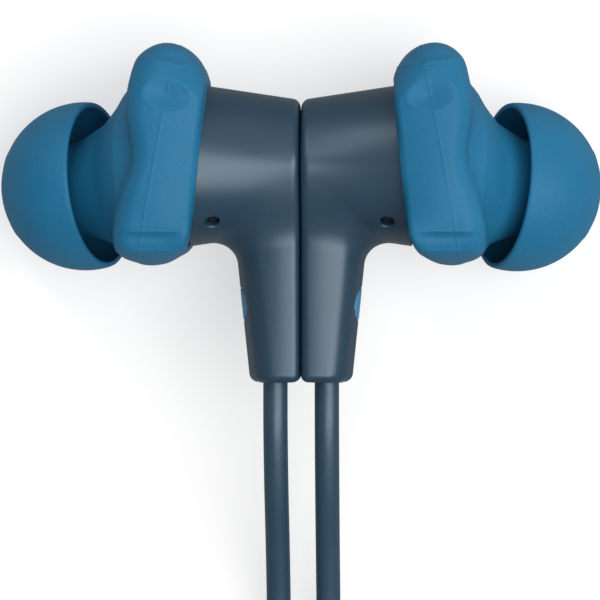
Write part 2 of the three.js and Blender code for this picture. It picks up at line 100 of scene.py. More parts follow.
def node_material(name, colour, second, roughness, grain, sockets=None):
    """A moulded finish: one colour drifting to a second, with fine grain in tone, roughness and relief."""
    material = bpy.data.materials.new(name)
    material.use_nodes = True
    tree = material.node_tree
    add, link = tree.nodes.new, tree.links.new
    principled = tree.nodes["Principled BSDF"]
    place = add("ShaderNodeTexCoord").outputs["Object"]

    def noise(scale, detail):
        node = add("ShaderNodeTexNoise")
        node.inputs["Scale"].default_value = scale
        node.inputs["Detail"].default_value = detail
        link(place, node.inputs["Vector"])
        return node.outputs["Fac"]

    def ranged(value, low, high):
        """Noise, which stays near its middle, spread over low to high."""
        node = add("ShaderNodeMapRange")
        node.inputs["From Min"].default_value = 0.35
        node.inputs["From Max"].default_value = 0.65
        node.inputs["To Min"].default_value = low
        node.inputs["To Max"].default_value = high
        link(value, node.inputs["Value"])
        return node.outputs["Result"]

    def mixed(fac, one, two, blend="MIX"):
        node = add("ShaderNodeMix")
        node.data_type = "RGBA"
        node.blend_type = blend
        fac_socket, one_socket, two_socket = 0, 6, 7
        for socket, value in ((fac_socket, fac), (one_socket, one), (two_socket, two)):
            if isinstance(value, float):
                node.inputs[socket].default_value = value
            elif isinstance(value, tuple):
                node.inputs[socket].default_value = (*value, 1.0)
            else:
                link(value, node.inputs[socket])
        return node.outputs[2]

    fine = noise(grain["scale"], 3.0)
    broad = noise(COLOUR_DRIFT_SCALE, 2.0)
    tone = mixed(ranged(broad, 0.0, 1.0), colour, second)
    speck = grain["speck"]
    value = add("ShaderNodeCombineColor")
    level = ranged(fine, 1.0 - speck, 1.0 + speck)
    for channel in range(3):
        link(level, value.inputs[channel])
    link(mixed(1.0, tone, value.outputs[0], "MULTIPLY"), principled.inputs["Base Color"])
    spread = grain["gloss"]
    link(ranged(fine, roughness - spread, roughness + spread), principled.inputs["Roughness"])
    bump = add("ShaderNodeBump")
    bump.inputs["Strength"].default_value = grain["bump"]
    bump.inputs["Distance"].default_value = GRAIN_DEPTH
    link(fine, bump.inputs["Height"])
    link(bump.outputs["Normal"], principled.inputs["Normal"])
    for socket, level in (sockets or {}).items():
        principled.inputs[socket].default_value = level
    return material


SILICONE_GRAIN = {"scale": 6500.0, "speck": 0.07, "bump": 0.3, "gloss": 0.05}
SATIN_GRAIN = {"scale": 9000.0, "speck": 0.07, "bump": 0.25, "gloss": 0.035}
METAL_GRAIN = {"scale": 4000.0, "speck": 0.05, "bump": 0.15, "gloss": 0.08}

COOL_TINT = (0.78, 0.90, 1.0, 1.0)
FINISHES = {
    "blue_silicone": (
        (0.012, 0.140, 0.272), (0.009, 0.128, 0.252), 0.55, SILICONE_GRAIN,
        {"IOR": 1.35, "Specular IOR Level": 0.4},
    ),
    "slate_plastic": (
        (0.011, 0.038, 0.066), (0.009, 0.034, 0.060), 0.365, SATIN_GRAIN,
        {"Specular IOR Level": 0.78, "Specular Tint": COOL_TINT},
    ),
    "slate_silicone": (
        (0.018, 0.044, 0.070), (0.015, 0.039, 0.064), 0.6, SILICONE_GRAIN,
        {"Sheen Weight": 0.1, "Specular IOR Level": 0.4},
    ),
    "cord_jacket": (
        (0.014, 0.044, 0.074), (0.011, 0.040, 0.068), 0.42, SILICONE_GRAIN,
        {"Specular IOR Level": 0.85, "Specular Tint": COOL_TINT},
    ),
    "marker_blue": ((0.045, 0.20, 0.36), (0.040, 0.19, 0.34), 0.45, SATIN_GRAIN),
    "dark_plastic": ((0.014, 0.017, 0.021), (0.018, 0.022, 0.026), 0.5, SATIN_GRAIN),
    "diaphragm_film": ((0.45, 0.25, 0.11), (0.40, 0.22, 0.10), 0.4, METAL_GRAIN, {"Metallic": 0.6}),
    "screen_mesh": ((0.010, 0.011, 0.013), (0.007, 0.008, 0.010), 0.55, METAL_GRAIN, {"Metallic": 0.3}),
    "magnet_nickel": ((0.55, 0.54, 0.50), (0.50, 0.49, 0.46), 0.25, METAL_GRAIN, {"Metallic": 1.0}),
    "steel": ((0.48, 0.49, 0.50), (0.42, 0.43, 0.45), 0.3, METAL_GRAIN, {"Metallic": 1.0}),
    "circuit_board": ((0.010, 0.065, 0.035), (0.008, 0.050, 0.028), 0.45, SATIN_GRAIN),
    "battery_foil": ((0.35, 0.36, 0.38), (0.30, 0.31, 0.33), 0.4, METAL_GRAIN, {"Metallic": 0.5}),
    "clear_plastic": (
        (0.75, 0.80, 0.84), (0.70, 0.76, 0.80), 0.25, SATIN_GRAIN, {"Transmission Weight": 0.3},
    ),
}
SURFACES = {name: node_material(name, *finish) for name, finish in FINISHES.items()}

# ---- Making pieces ----


def outward(points, faces):
    """The faces, turned if need be so that a closed mesh's normals point out."""
    total = 0.0
    for face in faces:
        first = points[face[:, 0]]
        for k in range(1, face.shape[1] - 1):
            total += np.einsum("ij,ij->", first, np.cross(points[face[:, k]], points[face[:, k + 1]]))
    return faces if total > 0 else [face[:, ::-1] for face in faces]


def new_piece(name, points, faces, slot, side):
    """A mesh object in the row frame. points are bud space millimetres, faces a list of index arrays."""
    where = placed(points, side)
    turned = outward(where, [np.asarray(face) for face in faces])
    mesh = bpy.data.meshes.new(name)
    mesh.from_pydata(where.tolist(), [], [f for face in turned for f in face.tolist()])
    mesh.polygons.foreach_set("use_smooth", np.ones(len(mesh.polygons), bool))
    mesh.materials.append(SURFACES[slot])
    mesh.update()
    piece = bpy.data.objects.new(name, mesh)
    bpy.context.scene.collection.objects.link(piece)
    return piece


def stand_in(name, mesh, slot, side, body, node):
    """A piece that rides on a body and stands for a CAD node. mesh is its points and faces."""
    piece = new_piece(name, *mesh, slot, side)
    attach(piece, body)
    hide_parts(node)


def rounded(points, radius, closed=False):
    """A flat line of points with each corner rounded off, in four steps."""
    corners = [np.array(p, float) for p in points]
    count, steps = len(corners), 4
    out = []
    for i, corner in enumerate(corners):
        if not closed and i in (0, count - 1):
            out.append(corner)
            continue
        before, after = corners[i - 1] - corner, corners[(i + 1) % count] - corner
        lengths = np.linalg.norm(before), np.linalg.norm(after)
        reach = min(radius, 0.48 * lengths[0], 0.48 * lengths[1])
        start, end = corner + before / lengths[0] * reach, corner + after / lengths[1] * reach
        for k in range(steps + 1):
            u = k / steps
            out.append((1 - u) ** 2 * start + 2 * u * (1 - u) * corner + u**2 * end)
    return out


def axis_frame(origin, axis, up=(0, 0, 1)):
    """Origin and three unit vectors of a frame whose third axis is the given one."""
    third = np.array(axis, float) / np.linalg.norm(axis)
    first = np.cross(up, third)
    first /= np.linalg.norm(first)
    return np.array(origin, float), first, np.cross(third, first), third


def strip(one, two):
    """Quads between rows of point numbers, each row closed on itself."""
    return np.stack([one, two, np.roll(two, -1, -1), np.roll(one, -1, -1)], -1).reshape(-1, 4)


def fan(pole, ring):
    """Triangles from one point number to a closed row of them."""
    return np.stack([np.full(len(ring), pole), ring, np.roll(ring, -1)], 1)


def lathe(profile, around, sides, closed=False):
    """Points and faces of (radius, height) pairs turned around a frame's third axis.
    A radius of 0 makes a pole."""
    origin, first, second, third = around
    angles = np.arange(sides) * 2 * math.pi / sides
    ring_way = np.outer(np.cos(angles), first) + np.outer(np.sin(angles), second)
    points, rings = [], []
    for radius, height in profile:
        middle = origin + third * height
        start = sum(len(p) for p in points)
        if radius < 1e-6:
            points.append(middle[None])
            rings.append(np.array([start]))
        else:
            points.append(middle + ring_way * radius)
            rings.append(start + np.arange(sides))
    quads, triangles = [], []
    pairs = list(zip(rings, rings[1:])) + ([(rings[-1], rings[0])] if closed else [])
    for one, two in pairs:
        if len(one) == 1 or len(two) == 1:
            triangles.append(fan(one[0], two) if len(one) == 1 else fan(two[0], one)[:, ::-1])
        else:
            quads.append(strip(one, two))
    return np.concatenate(points), quads + triangles


def smooth_path(points, spacing):
    """A centripetal Catmull-Rom curve through the points, sampled about every spacing."""
    p = np.array(points, float)
    p = np.vstack([2 * p[0] - p[1], p, 2 * p[-1] - p[-2]])
    out = []
    for a, b, c, d in zip(p, p[1:], p[2:], p[3:]):
        knots = np.cumsum([0.0] + [np.linalg.norm(y - x) ** 0.5 for x, y in ((a, b), (b, c), (c, d))])
        count = max(2, int(round(np.linalg.norm(c - b) / spacing)))
        for t in np.linspace(knots[1], knots[2], count, endpoint=False):
            ab = a + (b - a) * (t - knots[0]) / (knots[1] - knots[0])
            bc = b + (c - b) * (t - knots[1]) / (knots[2] - knots[1])
            cd = c + (d - c) * (t - knots[2]) / (knots[3] - knots[2])
            left = ab + (bc - ab) * (t - knots[0]) / (knots[2] - knots[0])
            right = bc + (cd - bc) * (t - knots[1]) / (knots[3] - knots[1])
            out.append(left + (right - left) * (t - knots[1]) / (knots[2] - knots[1]))
    out.append(p[-2])
    return np.array(out)


def tube(path, radii, sides, bore=0.0):
    """Points and faces of a tube along a path that doesn't start upright. radii is one radius, or one
    for each point of the path. Without a bore its ends are closed."""
    path = np.asarray(path, float)
    along = np.gradient(path, axis=0)
    along /= np.linalg.norm(along, axis=1)[:, None]
    first = np.cross(along[0], (0.0, 0.0, 1.0))
    angles = np.arange(sides) * 2 * math.pi / sides
    circles = []
    for way in along:
        first = first - way * first.dot(way)
        first /= np.linalg.norm(first)
        circles.append(np.outer(np.cos(angles), first) + np.outer(np.sin(angles), np.cross(way, first)))
    radii = np.broadcast_to(radii, len(path))
    rings = [middle + radius * circle for middle, radius, circle in zip(path, radii, circles)]
    if bore > 0:
        rings += [middle + bore * circle for middle, circle in zip(path[::-1], circles[::-1])]
    grid = np.arange(len(rings) * sides).reshape(-1, sides)
    if bore > 0:
        return np.concatenate(rings), [strip(grid, np.roll(grid, -1, 0))]
    points = np.concatenate(rings + [path[:1], path[-1:]])
    low, high = fan(grid.size, grid[0]), fan(grid.size + 1, grid[-1])[:, [0, 2, 1]]
    return points, [strip(grid[:-1], grid[1:]), low, high]


# ---- Solids as distance fields ----
# Each field takes points (n, 3) in bud space and gives the distance to its surface, negative inside.


def union(one, two, fillet=0.0):
    """The lower of two distances, with a concave fillet of that radius where they meet."""
    if np.all(fillet == 0):
        return np.minimum(one, two)
    near = np.hypot(np.maximum(fillet - one, 0), np.maximum(fillet - two, 0))
    return np.maximum(fillet, np.minimum(one, two)) - near


def common(one, two, edge=0.0):
    """The higher of two distances, with the shared edge rounded to that radius."""
    if np.all(edge == 0):
        return np.maximum(one, two)
    near = np.hypot(np.maximum(edge + one, 0), np.maximum(edge + two, 0))
    return np.minimum(-edge, np.maximum(one, two)) + near


def without(one, two, edge=0.0):
    return common(one, -two, edge)


def layer(value, low, high):
    """Distance to the range from low to high."""
    return np.maximum(low - value, value - high)


def local(points, around):
    """Points in a frame's own coordinates."""
    origin, first, second, third = around
    return (points - origin) @ np.stack([first, second, third], 1)


def cylinder(points, around, radius, low, high):
    x, y, z = local(points, around).T
    return common(np.hypot(x, y) - radius, layer(z, low, high))


def block(points, low, high, edge):
    """A box with rounded edges."""
    low, high = np.array(low, float), np.array(high, float)
    q = np.abs(points - (low + high) / 2) - (high - low) / 2 + edge
    outside = np.linalg.norm(np.maximum(q, 0), axis=1)
    return outside + np.minimum(q.max(1), 0) - edge


def grid_lines(low, high, step, finer=()):
    """Coordinates from low to high. finer holds (start, end, step) stretches with a closer spacing."""
    out, at = [low], low
    while at < high:
        here = min([step] + [s for a, b, s in finer if a - s <= at < b])
        at += here
        out.append(at)
    return np.array(out)


def field_mesh(field, xs, ys, zs, around=None, offset=(0, 0, 0)):
    """The surface of a field as a quad mesh on a grid, each point then moved on to the true surface.
    xs, ys and zs are the arguments of grid_lines. The grid can lie in a frame, or be offset."""

    def real(p):
        if around is None:
            return p
        origin, first, second, third = around
        return origin + p @ np.stack([first, second, third])

    lines = [grid_lines(*line) + shift for line, shift in zip((xs, ys, zs), offset)]
    shape = tuple(len(line) for line in lines)
    values = np.empty(shape)
    for i, x in enumerate(lines[0]):
        sheet = np.stack(np.meshgrid([x], *lines[1:], indexing="ij"), -1).reshape(-1, 3)
        values[i] = field(real(sheet)).reshape(shape[1:])
    inside = values < 0
    cell_shape = tuple(n - 1 for n in shape)
    cells = int(np.prod(cell_shape))
    sums, counts, quads = np.zeros((cells, 3)), np.zeros(cells), []
    for axis in range(3):
        u, v = (axis + 1) % 3, (axis + 2) % 3
        near = [slice(1, -1)] * 3
        near[axis] = slice(0, -1)
        far = list(near)
        far[axis] = slice(1, None)
        crossing = np.argwhere(inside[tuple(near)] != inside[tuple(far)])
        crossing[:, u] += 1
        crossing[:, v] += 1
        other = crossing.copy()
        other[:, axis] += 1
        a, b = values[tuple(crossing.T)], values[tuple(other.T)]
        spot = crossing.astype(float)
        spot[:, axis] += a / (a - b)
        corners = []
        for du, dv in ((1, 1), (0, 1), (0, 0), (1, 0)):
            cell = crossing.copy()
            cell[:, u] -= du
            cell[:, v] -= dv
            flat = np.ravel_multi_index(cell.T, cell_shape)
            corners.append(flat)
            counts += np.bincount(flat, minlength=cells)
            for k in range(3):
                sums[:, k] += np.bincount(flat, spot[:, k], minlength=cells)
        quad = np.stack(corners, 1)
        quads.append(np.where((a < 0)[:, None], quad, quad[:, ::-1]))
    used = np.flatnonzero(counts)
    index = sums[used] / counts[used, None]
    points = real(np.stack([np.interp(index[:, k], np.arange(shape[k]), lines[k]) for k in range(3)], 1))
    renumber = np.zeros(cells, int)
    renumber[used] = np.arange(len(used))
    reach = 0.004  # for measuring the field's slope
    limit = 0.5 * min(float(np.min(np.diff(line))) for line in lines)
    for _ in range(3):
        value = field(points)
        slope = np.stack(
            [(field(points + reach * e) - field(points - reach * e)) / (2 * reach) for e in np.eye(3)], 1
        )
        move = -value[:, None] * slope / np.maximum((slope**2).sum(1), 0.25)[:, None]
        size = np.linalg.norm(move, axis=1, keepdims=True)
        points = points + move * np.minimum(1, limit / np.maximum(size, 1e-9))
    return points, [renumber[np.concatenate(quads)]]


# ---- Frames inside a bud ----

AXIS_Y, AXIS_Z = 10.15, 9.6  # of the barrel
JOINT_X = 7.7
LEAN, NOZZLE_TURN, NOZZLE_PITCH = (math.radians(a) for a in (5.7, 6.0, 19.4))
X_WAY, Y_WAY, Z_WAY = np.eye(3)
lean_x = np.array([math.cos(LEAN), math.sin(LEAN), 0.0])
lean_y = np.array([-math.sin(LEAN), math.cos(LEAN), 0.0])
JOINT = (np.array([JOINT_X, AXIS_Y, AXIS_Z]), lean_x, lean_y, Z_WAY)
nozzle_way = (
    math.cos(NOZZLE_PITCH) * math.cos(NOZZLE_TURN),
    -math.cos(NOZZLE_PITCH) * math.sin(NOZZLE_TURN),
    -math.sin(NOZZLE_PITCH),
)
NOZZLE = axis_frame([JOINT_X, AXIS_Y - 0.76, AXIS_Z - 0.33], nozzle_way)

# ---- Housing of a bud ----

BACK_FACE = 0.04
BARREL_RADIUS, BARREL_SLOPE, BARREL_SAG = 4.88, 0.15, 1.0
RIDGE_HEIGHT, RIDGE_WIDTH, RIDGE_Y = 0.15, 1.15, 10.25  # a soft swell from the seam, fading outwards
CONE_SCALE, STEM_SCALE = 0.989, 0.935  # make the fields of the sloping sides true distances
STEM_BOTTOM, STEM_TOP, STEM_FILLET = -6.16, 9, 1.85  # the top is hidden in the barrel
STEM_SIDE_X, STEM_SIDE_Y, STEM_TAPER = 3.90, -5.44, 0.1044
STEM_DRAFT, DRAFT_ROUND = 0.38, 0.4
STEM_HALF_DEPTH, STEM_CROWN, STEM_CROWN_X, STEM_DEPTH_TAPER = 2.78, 0.075, 1.3, 0.012
SHELL_WALL, SHELL_FLOOR, CLEARANCE = 0.9, 1.3, 0.05
PLATE_RADIUS, PLATE_THICKNESS, PLATE_SEAT = 4.1, 0.8, 1.5
SLOT_HALF, SLOT_LOW, SLOT_HIGH = 1.85, -4.45, 10
WIRE_CHANNEL = ((0.8, -4.45, 8.0), (2.75, 10, 11.2))  # up the stem, from the cord to the driver
CORD_X = 1.93
CORD_HOLE_RADIUS, CORD_HOLE_TOP = 1.3, 3.2  # the top is measured down from Y 0
VENT = axis_frame([6.5, AXIS_Y - 4.45, AXIS_Z + 3.84], (0, -0.757, 0.653), (1, 0, 0))
VENT_RADIUS, VENT_DEPTH = 0.52, 1.6
MARKER = axis_frame([4.3, -0.3, AXIS_Z], X_WAY)
MARKER_RADIUS, MARKER_DEPTH, MARKER_RECESS = 1.17, 0.75, 0.9


def cone(points, shrink=0.0):
    """The barrel. Its front and rear are hollowed a little along their length, like a trumpet."""
    along = np.clip(points[:, 0] / JOINT_X, 0, 1)
    depth = points[:, 2] - AXIS_Z
    rho = np.hypot(points[:, 1] - AXIS_Y, depth)
    sag = BARREL_SAG * along * (1 - along) * (depth / np.maximum(rho, 1)) ** 2
    ridge = RIDGE_HEIGHT * (1 - along) * np.exp(-(((points[:, 1] - RIDGE_Y) / RIDGE_WIDTH) ** 2))
    side = rho - BARREL_RADIUS - BARREL_SLOPE * (points[:, 0] - BACK_FACE)
    return (side + sag - ridge + shrink) * CONE_SCALE


def stem_sides(points):
    """The stem without its inner face: tapered, crowned, its outer side drafted away from mid-depth."""
    x, y, z = points.T
    draft = STEM_DRAFT * (np.hypot(z - AXIS_Z, DRAFT_ROUND) - DRAFT_ROUND)
    outer = (x - STEM_SIDE_X - STEM_TAPER * (y - STEM_SIDE_Y) + draft) * STEM_SCALE
    half_depth = STEM_HALF_DEPTH - STEM_CROWN * (x - STEM_CROWN_X) ** 2 + STEM_DEPTH_TAPER * (y + 6)
    front = np.abs(z - AXIS_Z) - half_depth
    return common(outer, front, 0.9)


def housing_outer(points):
    stem = common(stem_sides(points), points[:, 1] - STEM_TOP, 0.5)
    body = union(cone(points), stem, STEM_FILLET)
    body = common(body, STEM_BOTTOM - points[:, 1], 0.62)
    return common(body, BACK_FACE - points[:, 0], 0.55)


def paddle(points, grow, low, high, edge):
    """The flat key-hole shape of the inner plate: a disc and a slot that runs down the stem."""
    x, y, z = points.T
    disc = np.hypot(y - AXIS_Y, z - AXIS_Z) - PLATE_RADIUS - grow
    slot_ends = layer(y, SLOT_LOW - grow, SLOT_HIGH)
    slot = np.maximum(np.abs(z - AXIS_Z) - SLOT_HALF - grow, slot_ends)
    return common(union(disc, slot, 0.4), layer(x, low, high), edge)


def bud_shell(points):
    """The housing with its hollow, the plate's seat, and the openings for wires, marker and vent."""
    solid = housing_outer(points)
    hollow = common(cone(points, SHELL_WALL + CLEARANCE), SHELL_FLOOR - points[:, 0])
    solid = without(solid, hollow)
    solid = without(solid, block(points, *WIRE_CHANNEL, 0.3))
    solid = without(solid, paddle(points, 0.12, -1, PLATE_SEAT, 0.05), 0.06)
    cord_line = axis_frame([CORD_X, 0, AXIS_Z], (0, -1, 0))
    solid = without(solid, cylinder(points, cord_line, CORD_HOLE_RADIUS, CORD_HOLE_TOP, 8), 0.12)
    seat_radius = MARKER_RADIUS + CLEARANCE
    solid = without(solid, cylinder(points, MARKER, seat_radius, -MARKER_RECESS, 3), 0.04)
    solid = without(solid, cylinder(points, VENT, VENT_RADIUS, -VENT_DEPTH, 2), 0.13)
    return np.maximum(solid, local(points, JOINT)[:, 0] - CLEARANCE)


def marker_dot(points):
    """A disc set in the outer side of the stem, flush with it."""
    dot = cylinder(points, MARKER, MARKER_RADIUS, -MARKER_DEPTH, 3)
    return common(dot, housing_outer(points) - 0.012, 0.05)


def inner_plate(points):
    return paddle(points, -0.02, BACK_FACE, BACK_FACE + PLATE_THICKNESS, 0.08)


# ---- Fin sleeve ----

# In the frame JOINT: X runs out from the barrel's end, Y up and Z to the front.
RING_THICKNESS = 5.6
RING_HALF_HEIGHT, RING_HALF_DEPTH, RING_RISE = 8.35, 7.3, 0.5
RING_POWER = 4.5  # 2 would be an ellipse
TOP_FROM, TOP_OVER = 4.4, 2.6  # where the ring's rounded top begins, and how soon it is reached
LOW_FROM, LOW_OVER = -3.3, 2.2  # the same for its low end
RIM_CROWN, RIM_CROWN_X = 0.075, 2.8
SCALLOP_DEPTH, SCALLOP_Y, SCALLOP_HALF = 0.85, -0.2, 2.6  # on the neck's side
NOSE_X, NOSE_Y, NOSE_RADIUS = 3.25, -3.97, 3.92  # rounds the low end of the ring on its barrel side
SLEEVE_LIP = 0.12  # reaches this far over the end of the barrel
NECK_ROOT, NECK_FLARE = 4.8, 1.8
FACE_Z, RELIEF_X = 2.0, 2.5  # the moulded relief is on the front and rear faces only
STEP_DEPTH, STEP_WIDTH = 0.32, 0.22
TOP_STEP_Y, LOW_STEP_Y, END_STEP_Y = 7.2, -5.4, -6.8
LIP_HEIGHT, LIP_WIDTH = 0.05, 0.09
NOTCH_X, NOTCH_Y, NOTCH_HALF_X, NOTCH_HALF_Y = 2.55, 4.72, 1.75, 1.15
NOTCH_DEPTH, NOTCH_RIM = 0.48, 0.035
PARTING_HEIGHT, PARTING_WIDTH = 0.036, 0.06
NECK_PROFILE = [  # (height, radius) in the frame NOZZLE
    (0.0, 5.6), (2.5, 5.9), (3.6, 6.55), (4.7, 6.6), (4.95, 6.5), (6.4, 4.98), (6.7, 4.74), (7.2, 4.5),
    (7.85, 4.2), (9.13, 3.66), (9.95, 3.52), (12.0, 3.5),
]
BORE_PROFILE = [
    (-4.0, 5.45), (0.6, 5.45), (2.15, 5.15), (3.6, 4.55), (5.4, 3.65), (6.7, 3.15), (7.6, 2.75),
    (12.0, 2.75),
]
SLEEVE_REACH = 10.2


def turned_distance(p, profile):
    """Distance to a body of revolution around the third axis, given by its (height, radius) pairs."""
    heights, radii = np.array(profile).T
    slope = np.interp(p[:, 2], (heights[1:] + heights[:-1]) / 2, np.diff(radii) / np.diff(heights))
    return (np.hypot(p[:, 0], p[:, 1]) - np.interp(p[:, 2], heights, radii)) / np.sqrt(1 + slope**2)


def step(value, width):
    """A soft step from 0 to 1 around a value of 0."""
    return 1 / (1 + np.exp(np.clip(-value / width, -40, 40)))


def smooth_step(value):
    """Goes from 0 to 1 as the value does, level at both ends."""
    share = np.clip(value, 0, 1)
    return share**2 * (3 - 2 * share)


def sleeve_relief(p):
    """How far the moulded steps and the thumbnail notch lie below the ring. The parting line is proud."""
    x, y, z = p.T

    def window(middle, half):
        return np.exp(-np.clip(np.abs(x - middle) / half, 0, 3) ** 4)

    def dish(past, depth, steep, fade):
        """A step down with a fine raised lip, fading out further on."""
        fall = depth * (1 - np.exp(-np.maximum(past, 0) / steep))
        lip = LIP_HEIGHT * np.exp(-((past / LIP_WIDTH) ** 2))
        return fall * np.exp(-np.maximum(past - 2 * steep, 0) / fade) - lip

    parting_x = 2.94 - 0.083 * y - 0.0009 * y**2
    near_barrel = step(parting_x - x, 0.04)
    past_top = y - TOP_STEP_Y - 0.02 * (x - 2.4) ** 2 + 0.13 * near_barrel
    top = dish(past_top, STEP_DEPTH, STEP_WIDTH, 0.9)
    low = dish(LOW_STEP_Y - 0.10 * (x - RELIEF_X) - y, STEP_DEPTH, STEP_WIDTH, 0.6)
    end = dish(END_STEP_Y - 0.09 * (x - RELIEF_X) - y, 0.2, 0.2, 1.0)
    notch_x = (x - NOTCH_X) / NOTCH_HALF_X
    notch_y = (y - NOTCH_Y - 0.05 * (x - RELIEF_X)) / NOTCH_HALF_Y
    reach = np.sqrt(notch_x**2 + notch_y**2 + 0.02)
    notch_rim = NOTCH_RIM * np.exp(-(((reach - 1.07) / 0.07) ** 2))
    notch = NOTCH_DEPTH * np.maximum(1 - reach, 0) - notch_rim
    parting = PARTING_HEIGHT * np.exp(-(((x - parting_x) / PARTING_WIDTH) ** 2))
    steps = top * window(2.6, 2.0) + low * window(2.8, 1.9) + end * window(3.0, 2.3)
    return (steps + notch) * step(np.abs(z) - FACE_Z, 0.3) - parting


def fin_sleeve(points):
    """A rounded ring around the barrel's end, a neck that narrows along the nozzle, and their bore.
    The shares top, low and middle say which part of the ring a point belongs to."""
    p = local(points, JOINT)
    x, y, z = p.T
    high, deep = np.abs(y - RING_RISE) / RING_HALF_HEIGHT, np.abs(z) / RING_HALF_DEPTH
    scale = np.maximum((high**RING_POWER + deep**RING_POWER) ** (1 / RING_POWER), 0.05)
    rise = (high / scale) ** (RING_POWER - 1) / RING_HALF_HEIGHT
    depth = (deep / scale) ** (RING_POWER - 1) / RING_HALF_DEPTH
    rim = (scale - 1) / np.maximum(np.hypot(rise, depth), 0.05)
    top = smooth_step((y - TOP_FROM) / TOP_OVER)
    low = smooth_step((LOW_FROM - y) / LOW_OVER)
    middle = 1 - top - low
    rim = rim + RIM_CROWN * middle * (x - RIM_CROWN_X) ** 2
    scallop = SCALLOP_DEPTH * np.exp(-(((y - SCALLOP_Y) / SCALLOP_HALF) ** 2))
    nose = np.hypot(np.maximum(NOSE_X - x, 0), np.minimum(y - NOSE_Y, 0)) - NOSE_RADIUS
    nose = nose - 9 * (1 - low)  # only the low end is cut by it
    barrel_edge = 0.4 * middle + 3.1 * top + 0.5 * low
    neck_edge = 1.4 * middle + 2.4 * top + 1.6 * low
    ring = common(common(rim, nose, 0.6 * low), -SLEEVE_LIP - x, barrel_edge)
    ring = common(ring, x - RING_THICKNESS + scallop + 0.2 * top, neck_edge)
    ring = ring + sleeve_relief(p)
    q = local(points, NOZZLE)
    radius = np.hypot(q[:, 0], q[:, 1])
    flare = np.clip((radius - NECK_ROOT) / NECK_FLARE, 0, 1)
    skewed = q.copy()
    skewed[:, 2] += 0.8 * q[:, 1] / np.maximum(radius, 1) * flare
    trim = 0.4 * np.clip(-q[:, 1] / np.maximum(radius, 1), 0, 1) ** 2 * flare
    neck = common(turned_distance(skewed, NECK_PROFILE) + trim, q[:, 2] - SLEEVE_REACH, 0.3)
    neck = np.maximum(neck, 0.5 - x)
    body = common(union(ring, neck, 1.3 - 0.8 * low), nose, 0.3 * low)
    body = without(body, np.maximum(cone(points) - 0.03, x - 0.1))
    return without(body, turned_distance(q, BORE_PROFILE), 0.15)


# ---- Ear tip ----

TIP_RADIUS, TIP_CENTRE, TIP_RIM = 6.38, 9.18, 8.05  # the last two are heights along the nozzle
TIP_MOUTH_RADIUS = 2.75
TIP_TUBE = [(2.15, 14.85), (2.1, 12.9), (3.1, 12.9), (3.1, 10.6), (3.8, 10.6), (3.8, 13.0)]
TIP_BEAD_HEIGHT, TIP_BEAD_ANGLE, TIP_BEAD_WIDTH = 0.035, 0.62, 0.012
TIP_THICKNESS, TIP_THINNING, THINNING_ANGLE = 0.85, 0.5, 0.9
TIP_LIP = ((0.30, 0.03), (0.16, 0.10), (0.03, 0.04))  # inwards and down from the rim
TIP_SEAT = {"right": (-0.08, 0.06, 0.0), "left": (0.14, 0.14, 0.0)}  # the two aren't pushed on alike


def tip_profile():
    """Dome from the rim to the mouth, the tube inside it, and the thinning underside,
    as (radius, height) pairs."""

    def at(radius, angle):
        return radius * math.sin(angle), TIP_CENTRE + radius * math.cos(angle)

    rim_radius = math.sqrt(TIP_RADIUS**2 - (TIP_CENTRE - TIP_RIM) ** 2)
    rim_angle = math.atan2(rim_radius, TIP_RIM - TIP_CENTRE)
    mouth_angle = math.asin(TIP_MOUTH_RADIUS / TIP_RADIUS)
    tube_angle = math.asin(4.3 / 5.45)  # where the underside meets the tube
    dome = []
    for angle in np.linspace(rim_angle - 0.02, mouth_angle, 46):
        bead = TIP_BEAD_HEIGHT * math.exp(-(((angle - TIP_BEAD_ANGLE) / TIP_BEAD_WIDTH) ** 2))
        dome.append(at(TIP_RADIUS + bead, angle))
    mouth = rounded([dome[-1], *TIP_TUBE], 0.35)
    under = []
    for angle in np.linspace(tube_angle, rim_angle + 0.05, 30):
        share = (angle - THINNING_ANGLE) / (rim_angle - THINNING_ANGLE)
        thickness = TIP_THICKNESS - TIP_THINNING * min(1.0, max(0.0, share)) ** 0.8
        under.append(at(TIP_RADIUS - thickness, angle))
    lip = [(rim_radius - inwards, TIP_RIM - down) for inwards, down in TIP_LIP]
    return dome + mouth[1:] + under[:-1] + lip


# ---- Cords ----

CORD_DIAMETER = 1.84
LYING = 0.95  # height of the middle of a cord that lies on the surface
CORD_LYING = (
    (2.1, -38), (2.5, -52), (2.9, -68), (3.1, -84), (3.5, -96), (5.9, -105), (11, -110.8), (18, -112.8),
    (25, -110.6), (30, -104.8), (32.2, -96), (32.3, -84), (31.9, -68), (31.7, -52), (31.8, -38),
    (32.3, -24.5), (34.3, -16), (38.8, -10.6),
)
CORD_ROUTE = [
    (CORD_X, -5.2, AXIS_Z), (CORD_X, -6.5, AXIS_Z), (CORD_X, -9.5, 9.5),
    (1.92, -14, 7.9), (1.9, -19, 5), (1.9, -24, 2.6), (1.95, -30, 1.2),
    *((x, y, LYING) for x, y in CORD_LYING),
    (45, -8.8, 1), (51, -10.9, 1.5), (55.2, -15.6, 2.8), (56.8, -21, 4.1), (57, -25.7, 4.4), (57, -29, 4.4),
]
cord_path = smooth_path(CORD_ROUTE, 0.6)
for side in SIDES:
    points, faces = tube(cord_path, CORD_DIAMETER / 2, 18)
    cord = new_piece(f"cord_jacket_{side}", points, faces, "cord_jacket", side)
    line = placed(cord_path, side)
    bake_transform(cord)
    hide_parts(f"cord_{side}")
    tuple(placed([(CORD_X, STEM_END, AXIS_Z)], side)[0])

# ---- Buds ----

